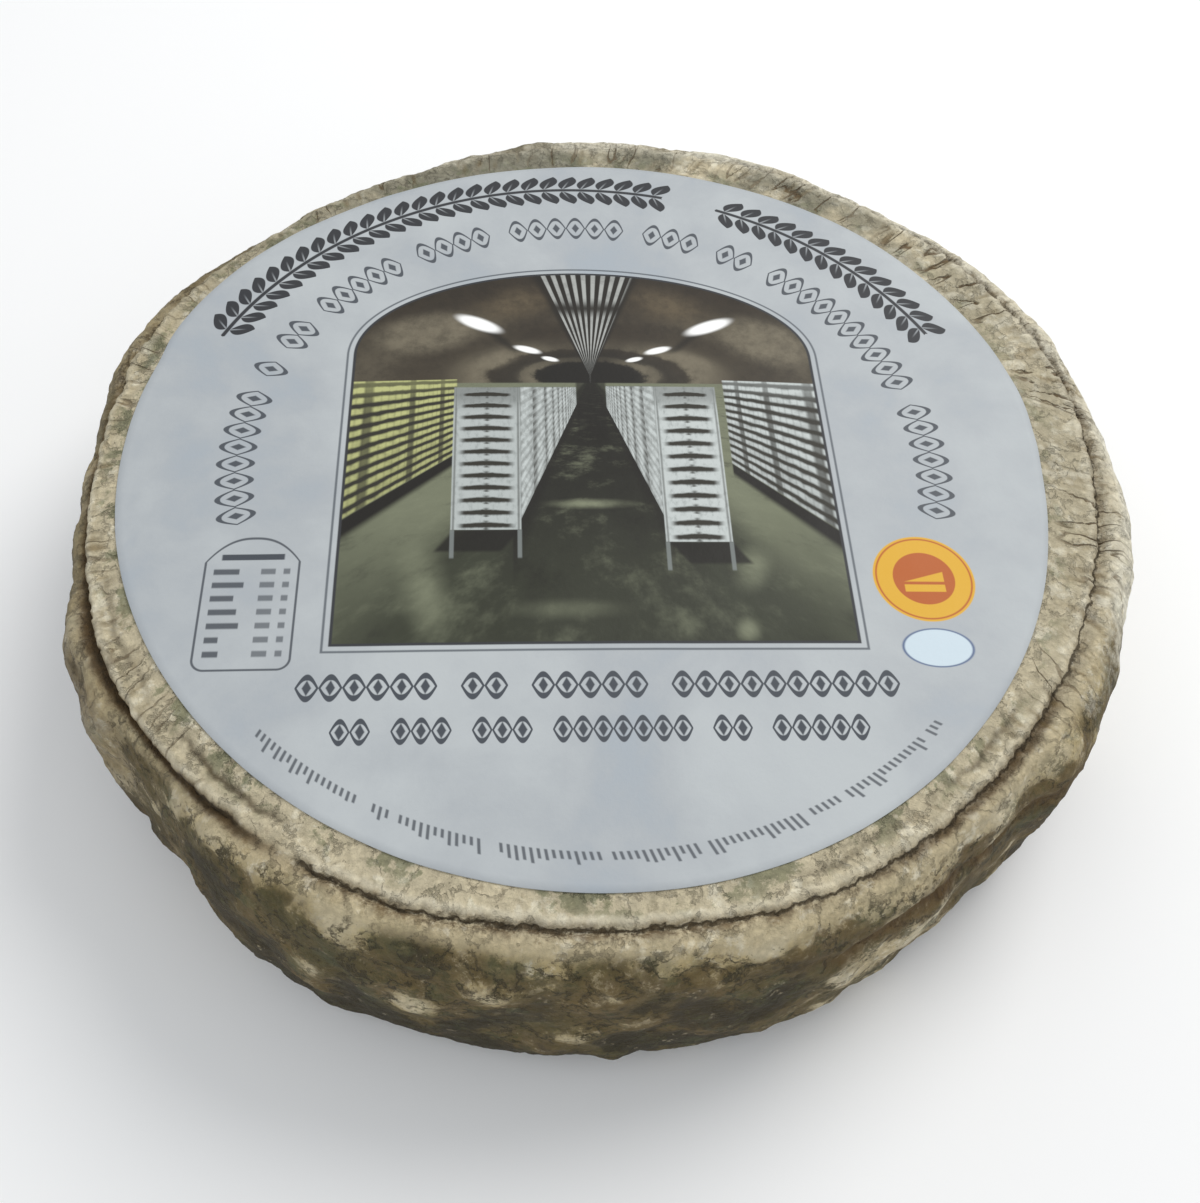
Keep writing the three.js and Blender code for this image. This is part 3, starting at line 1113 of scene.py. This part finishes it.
def cellarFloor(tree, dx, dy):
    down = most(-dy, 1.0)
    sheen = noise(vector(tree, dx / down * 30, 1500.0 / down), 8.0, seed=42.0, detail=5.0, rough=0.65)
    slope = abs(dx) / down
    side = fade(slope, 0.55, 0.85) * fade(down, 62.0, 30.0, 0.25, 1.0)
    aisle = fall(slope, 0.36, 0.44) * fade(down, 20.0, 58.0, 0.85, 0.2)
    return painted(cellarTint["floor"], cellarTint,
                   ("lit floor", side * 0.75),
                   ("shade", aisle),
                   ("lit floor", fade(sheen, 0.5, 0.75) * 0.55),
                   ("shade", fade(sheen, 0.5, 0.28) * 0.6),
                   ("lit floor", softOvals(dx, dy, "wet floor") * fade(sheen, 0.3, 0.6, 0.4, 1.0)))


# shelves along a wall, running back from the viewer
def wallRack(tree, colour, dx, dy, side, sill, tint):
    away = most(dx * side, 1.0)
    slope = -dy / away
    reach = fade(away, 26.6, 27.0)
    there = fade(slope, 0.025, 0.035) * fall(slope, sill - 0.01, sill + 0.005) * reach
    blur = noise(vector(tree, dx, dy), 2.2, seed=43.0, detail=2.0)
    shelf = fraction(slope / sill * 12.5 + (blur - 0.5) * 0.3)
    board = fall(abs(shelf - 0.38), 0.12, 0.4)
    steps = 48.5 / away
    depth = abs(fraction((steps - 1.04) / 0.27) - 0.22)
    post = fall(depth, 0.05, 0.12)
    wheels = fade(abs(fraction(steps * 24) - 0.5), 0.25, 0.5, 1.0, 0.8)
    tone = board * (1.0 - post * 0.75) * wheels
    tone = tone * fade(slope / sill, 0.4, 1.0, 1.0, 0.8) + fade(slope / sill, 0.22, 0.05) * 0.25
    sillBand = fade(slope, sill - 0.01, sill + 0.01) * fall(slope, sill + 0.07, sill + 0.13)
    colour = mix(colour, cellarTint["shade"], sillBand * reach)
    rack = mix(cellarTint["gap"], tint, tone * fade(blur, 0.25, 0.6, 0.7, 1.0))
    return mix(colour, rack, there)


# a rack end-on, with its side running back
def endRack(tree, colour, dx, dy, spec, side, sill):
    left, right, top, bottom, bright = spec
    inner = abs(right if side < 0 else left)
    away = most(dx * side, 0.5)
    slope = -dy / away
    below = fall(dy, top - 0.2, top + 0.2)
    posts = fraction(inner / away * 3.3)
    blur = noise(vector(tree, dx * 2, dy), 2.0, seed=44.0, detail=3.0, rough=0.6)
    rounds = abs(fraction(slope / sill * 14 + posts * 0.4) - 0.5)
    bays = fade(posts, 0.1, 0.45) * fade(posts, 0.6, 1.0, 1.0, 0.6)
    tone = (0.45 + 0.5 * bays - fade(rounds, 0.15, 0.4) * 0.25) * fade(blur, 0.3, 0.65, 0.65, 1.1)
    under = fade(slope, sill + 0.9, sill) * between(dx * side, 3.0, inner + 1.5, 0.3) * below
    back = between(dx * side, 3.0, inner, 0.15) * below * fall(slope, sill - 0.04, sill)
    colour = mix(colour, cellarTint["shade"], under * 0.85)
    colour = mix(colour, mix(cellarTint["gap"], cellarTint["board"], tone), back)

    # its shadow and legs, then the end itself
    middle, half = (left + right) / 2, (right - left) / 2
    shadow = between(dx - (bottom - dy) * 0.7 * side, left + 0.6, right - 0.2, 0.6)
    shadow = shadow * between(dy, bottom - 5.0, bottom, 0.5)
    legs = oneOf(between(dx, left - 0.1, left + 0.7, 0.15), between(dx, right - 0.7, right + 0.1, 0.15))
    legs = legs * between(dy, bottom - 6.5, bottom, 0.3)
    colour = painted(colour, cellarTint, ("shade", shadow * 0.9), ("dim board", legs * 0.8))
    shelf = fraction((top - dy) / ((top - bottom) / 12) + (blur - 0.5) * 0.12)
    fromMiddle = abs(dx - middle) / half
    bow = fade(fromMiddle, 0.0, 0.8, 0.0, 0.12)
    gap = fade(shelf, 0.34 + bow, 0.5 + bow) * fall(shelf, 0.75, 0.95) * fall(fromMiddle, 0.6, 0.88)
    post = ridge(dx, middle, 0.9) * fade(shelf, 0.2, 0.4) * 0.8
    rail = ridge(fromMiddle, 0.93, 0.06) * 0.6
    murk = fade(top - dy, 8.0, 2.0) * 0.5
    rack = painted(cellarTint["dim board"], cellarTint,
                   ("board", fade(blur, 0.2, 0.55, bright * 0.4, bright)),
                   ("gap", oneOf(gap, post, rail, murk)))
    return mix(colour, rack, between(dx, left, right, 0.15) * between(dy, bottom, top, 0.15))


def cellarPicture(tree, u, v, where):
    dx, dy = u - cellar["middle"][0], v - cellar["middle"][1]
    colour = mix(cellarFloor(tree, dx, dy), vault(dx, dy, where), fade(dy, -2.0, -1.6))
    tunnel = fall(abs(dx), 2.6, 3.4) * between(dy, -18.0, 1.0, 4.0)
    colour = mix(colour, cellarTint["shade"], tunnel * 0.8)
    colour = wallRack(tree, colour, dx, dy, -1.0, 0.77, cellarTint["yellow board"])
    colour = wallRack(tree, colour, dx, dy, 1.0, 0.86, cellarTint["board"])
    colour = endRack(tree, colour, dx, dy, cellar["left rack"], -1.0, 2.6)
    return endRack(tree, colour, dx, dy, cellar["right rack"], 1.0, 2.86)


tablePrint = {           # millimetres from the label's middle
    "left": -70.0,
    "right": -53.3,
    "bottom": -47.6,
    "shoulder": -24.8,
    "crown": -19.5,
    "corner": 2.2,
    "row": 2.9,
    "rows": 7.0,
}
sealPrint = {
    "x": 60.8,
    "y": -28.9,
    "radius": 9.5,
    "oval y": -44.0,
    "oval": (6.65, 4.15),            # half width and height
}


def tableBox(tree, u, v):            # a line round an empty form, a heading bar and rows of dashes
    spec = tablePrint
    middle, half = (spec["left"] + spec["right"]) / 2, (spec["right"] - spec["left"]) / 2
    side = abs(u - middle)
    crown = spec["shoulder"] + (spec["crown"] - spec["shoulder"]) * (1.0 - (side / half) ** 2.4)
    cornerX = most(side - (half - spec["corner"]), 0.0)
    cornerY = most(spec["bottom"] + spec["corner"] - v, 0.0)
    corner = length(cornerX, cornerY) - spec["corner"]
    edge = oneOf(corner, side - half, (v - crown) * 0.8)
    border = fall(abs(edge), 0.1, 0.32)
    heading = fall(side, 5.4, 5.8) * between(v, spec["shoulder"] + 0.4, spec["shoulder"] + 1.7)
    row = (spec["shoulder"] - 0.7 - v) / spec["row"]
    bar = between(fraction(row), 0.3, 0.72, 0.08) * between(row, 0.0, spec["rows"], 0.02)
    cell = vector(tree, maths(tree, "FLOOR", row), 7.0)
    chance = out(node(tree, "ShaderNodeTexWhiteNoise", {"Vector": cell}))
    across = u - spec["left"]
    name = between(across, 1.6, 3.6 + chance * 3.6)
    figures = oneOf(between(across, 10.0, 12.6), between(across, 14.0, 15.2))
    return oneOf(border * 0.9, heading, bar * oneOf(name, figures * 0.8) * 0.9)


def sealDisc(colour, u, v):          # a plain gold disc with a cut wedge on it, and a bare oval below
    spec = sealPrint
    x, y = u - spec["x"], v - spec["y"]
    reach = length(x, y) / spec["radius"]
    slope = fall(y - (x + 4.2) * 0.3 + 0.9, -0.15, 0.15) * fade(y, -0.9, -0.6)
    wedge = oneOf(between(y, -3.0, -1.4), slope) * between(x, -3.9, 3.7)
    wide, high = spec["oval"]
    oval = length(x / wide, (v - spec["oval y"]) / high)
    return painted(colour, ink,
                   ("gold", fall(reach, 0.99, 1.02)),
                   ("rust", oneOf(ridge(reach, 0.94, 0.035), fall(reach, 0.6, 0.625))),
                   ("gold", wedge),
                   ("ice", fall(oval, 0.96, 1.0)),
                   ("blue", ridge(oval, 0.96, 0.07)))


def makePaperMaterial():
    material, tree, paper = newMaterial("printed label paper")
    turned = {
        "Vector": placeOf(tree),
        "Location": (labelShape["Label X"], labelShape["Label Y"], 0),
        "Rotation": (0, 0, radians(labelTurn)),
    }
    where = out(node(tree, "ShaderNodeMapping", turned, vector_type="TEXTURE"))
    u, v, _ = parts(where)

    # damp stains and haze in the paper
    cloud = clouds(where, 34.0, 51.0)
    fibre = grains(where, 0.9, 52.0, 0.15)
    colour = painted(paperTint["dull"], paperTint,
                     ("bare", fade(cloud, 0.35, 0.65)),
                     ("damp", fade(cloud, 0.46, 0.3) * 0.6))

    sprig, chain, first, second = (printedRow(tree, labelPrint[name], u, v)
                                   for name in ("sprig", "chain", "first", "second"))
    foot = printedRow(tree, labelPrint["foot"], u, -v)
    colour = painted(colour, ink,
                     ("black", sprig * 0.95),
                     ("grey", chain * 0.95),
                     ("grey", oneOf(first, second)),
                     ("grey", foot * 0.85),
                     ("grey", tableBox(tree, u, v)))
    colour = sealDisc(colour, u, v)

    # picture in its double frame
    rule = inArch(u, v, 0.0) * (1.0 - inArch(u, v, 0.45))
    colour = painted(colour, ink, ("pale", rule * 0.9), ("black", inArch(u, v, 1.35) * 0.95))
    colour = mix(colour, cellarPicture(tree, u, v, where), inArch(u, v, 1.9))

    feed(tree, paper.inputs["Base Color"], colour)
    paper.inputs["Specular IOR Level"].default_value = 0.35
    feed(tree, paper.inputs["Roughness"], slide(cloud, 0.3, 0.7, 0.5, 0.68))
    relief = fibre + cloud * 2
    bumped = node(tree, "ShaderNodeBump", {"Strength": 0.6, "Distance": 0.1 * mm, "Height": relief})
    feed(tree, paper.inputs["Normal"], out(bumped))
    return material


def mapLabel(piece):                 # the face fills the sheet, and the back is small in a corner
    spot, row, turn, faceRow, _ = faceCorners(piece, (labelShape["Label X"], labelShape["Label Y"]))
    backRows = labelSize["Back rows"] + labelSize["Edge rows"]
    places = spot / (labelShape["Label radius"] + 4) * 0.49 + 0.5
    reach = (row / backRows * 0.07)[:, None]
    small = np.stack([np.cos(turn), np.sin(turn)], 1) * reach + 0.08
    behind = faceRow < backRows
    places[behind] = small[behind]
    keepBakeMap(piece, places)


labelValues = wheelShape | labelShape | labelRelief | labelSize
label = grown("label", makeLabelTree(makePaperMaterial()), labelValues)
mapLabel(label)
print("label made")


# floor and light
studio = {
    "floor": linear(250, 250, 250),
    "half floor": 3.0,
    "sky": (0.95, 0.975, 1.0, 1.0),
    "sky strength": 0.62,
    # name, place, size, watts, colour
    "lamps": [("key", (0.45, 0.5, 0.85), 0.7, 6.0, (1.0, 0.98, 0.95)),
              ("fill", (-0.7, -0.5, 0.9), 0.9, 2.0, (0.95, 0.98, 1.0))],
}


def makeStudio():
    mesh = bpy.data.meshes.new("floor")
    half = studio["half floor"]
    corners = [(x * half, y * half, 0) for x, y in ((-1, -1), (1, -1), (1, 1), (-1, 1))]
    mesh.from_pydata(corners, [], [(0, 1, 2, 3)])
    floor = bpy.data.objects.new("floor", mesh)
    scene.collection.objects.link(floor)
    material, _, pale = newMaterial("pale floor")
    pale.inputs["Base Color"].default_value = studio["floor"]
    pale.inputs["Roughness"].default_value = 0.9
    mesh.materials.append(material)
    for name, spot, size, watts, colour in studio["lamps"]:
        data = bpy.data.lights.new(name, "AREA")
        data.shape, data.size, data.energy, data.color = "DISK", size, watts, colour
        lamp = bpy.data.objects.new(name, data)
        lamp.location = spot
        lamp.rotation_euler = (-Vector(spot)).to_track_quat("-Z", "Y").to_euler()
        scene.collection.objects.link(lamp)
    world = bpy.data.worlds.new("studio")
    world.use_nodes = True
    sky = world.node_tree.nodes["Background"]
    sky.inputs["Color"].default_value = studio["sky"]
    sky.inputs["Strength"].default_value = studio["sky strength"]
    scene.world = world
    scene.view_settings.view_transform = "Standard"


makeStudio()
print("studio lit")

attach(rind, "root")
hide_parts("cheese_wheel")
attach(label, "root")
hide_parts("paper_label")
